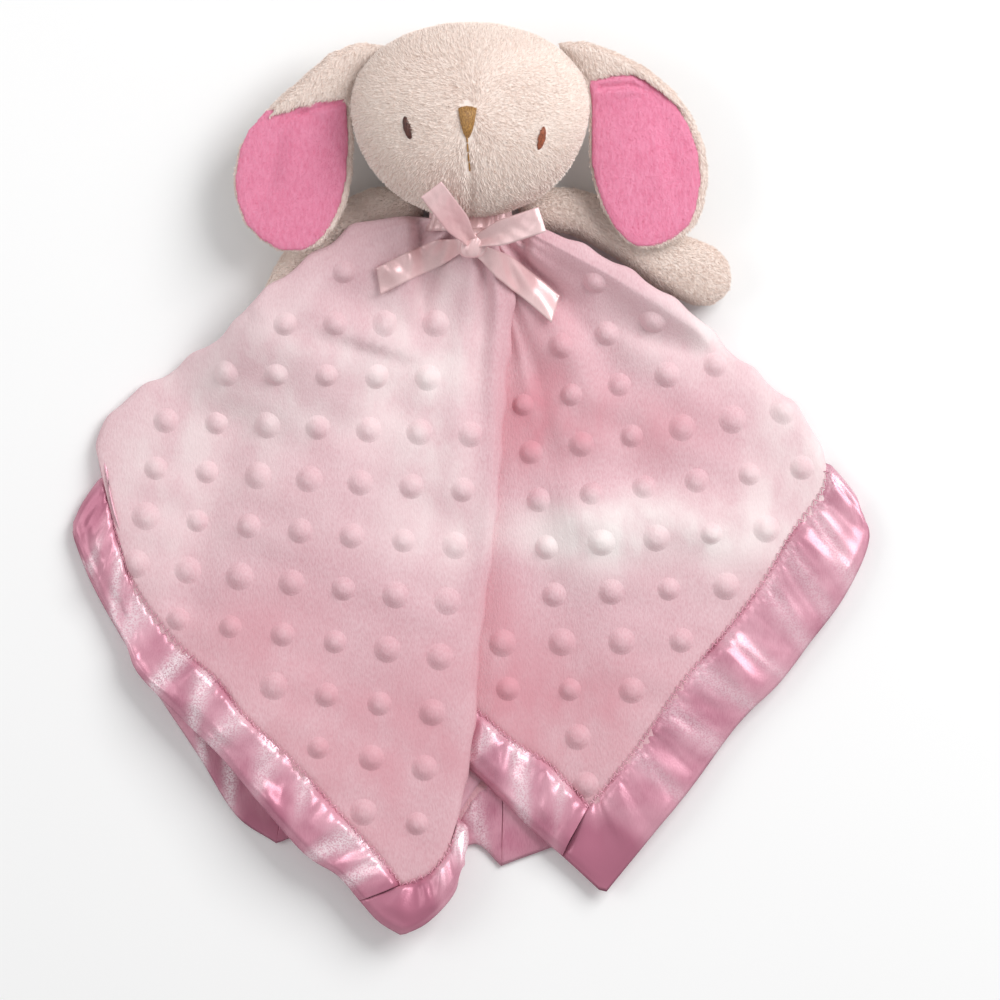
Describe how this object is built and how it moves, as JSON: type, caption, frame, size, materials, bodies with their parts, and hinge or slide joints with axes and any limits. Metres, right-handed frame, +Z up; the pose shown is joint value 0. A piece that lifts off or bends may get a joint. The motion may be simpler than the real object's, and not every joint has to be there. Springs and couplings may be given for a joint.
{
  "type": "comfort blanket lovey",
  "caption": "Plush rabbit head with lop ears and two stuffed arms, sewn to the middle of a satin-edged dotted blanket square laid in folds, with a ribbon bow.",
  "frame": {"origin": "middle of the footprint's bounding box, on the table the lovey lies on", "axes": "+Z up, away from the table and out of the face; +Y from the blanket's loose corners towards the top of the head; +X to the right as seen from above"},
  "size_m": [0.2788, 0.3182, 0.0607],
  "materials": {
    "minky": "short dotted plush pile",
    "lining_satin": "satin",
    "binding_satin": "glossy satin",
    "stuffing": "loose fibre",
    "bow_satin": "satin ribbon",
    "plush": "short ivory plush pile",
    "gold_thread": "satin stitch",
    "dark_thread": "satin stitch",
    "russet_thread": "satin stitch",
    "ear_lining": "short pink plush pile"
  },
  "bodies": {
    "blanket": {"minky_panel": "minky", "satin_lining": "lining_satin", "binding_left": "binding_satin", "binding_front": "binding_satin", "binding_right": "binding_satin", "binding_back": "binding_satin", "neck_core": "stuffing", "neck_ribbon": "bow_satin", "bow_knot": "bow_satin", "bow_left_loop": "bow_satin", "bow_right_loop": "bow_satin", "bow_left_tail": "bow_satin", "bow_right_tail": "bow_satin"},
    "head": {"head_skin": "plush", "head_stuffing": "stuffing", "nose_embroidery": "gold_thread", "mouth_stitch": "gold_thread", "left_eye_embroidery": "dark_thread", "right_eye_embroidery": "russet_thread"},
    "left_ear": {"left_ear_plush": "plush", "left_ear_lining": "ear_lining"},
    "right_ear": {"right_ear_plush": "plush", "right_ear_lining": "ear_lining"},
    "left_arm": {"left_arm_skin": "plush", "left_arm_stuffing": "stuffing"},
    "right_arm": {"right_arm_skin": "plush", "right_arm_stuffing": "stuffing"}
  },
  "joints": [
    {"name": "head_tilt", "type": "hinge", "parent": "blanket", "child": "head", "pos_m": [-0.00006, 0.09008, 0], "axis": [0, 0, 1], "range_deg": [-8, 8]},
    {"name": "left_ear_lift", "type": "hinge", "parent": "head", "child": "left_ear", "pos_m": [-0.03456, 0.15201, 0.0271], "axis": [0.1741, 0.9847, 0], "range_deg": [0, 60]},
    {"name": "right_ear_lift", "type": "hinge", "parent": "head", "child": "right_ear", "pos_m": [0.03619, 0.15201, 0.0271], "axis": [0.1614, -0.9869, 0], "range_deg": [0, 60]},
    {"name": "left_arm_swing", "type": "hinge", "parent": "blanket", "child": "left_arm", "pos_m": [-0.02066, 0.09388, 0], "axis": [0, 0, -1], "range_deg": [0, 22]},
    {"name": "right_arm_swing", "type": "hinge", "parent": "blanket", "child": "right_arm", "pos_m": [0.02054, 0.09388, 0], "axis": [0, 0, 1], "range_deg": [0, 22]}
  ]
}
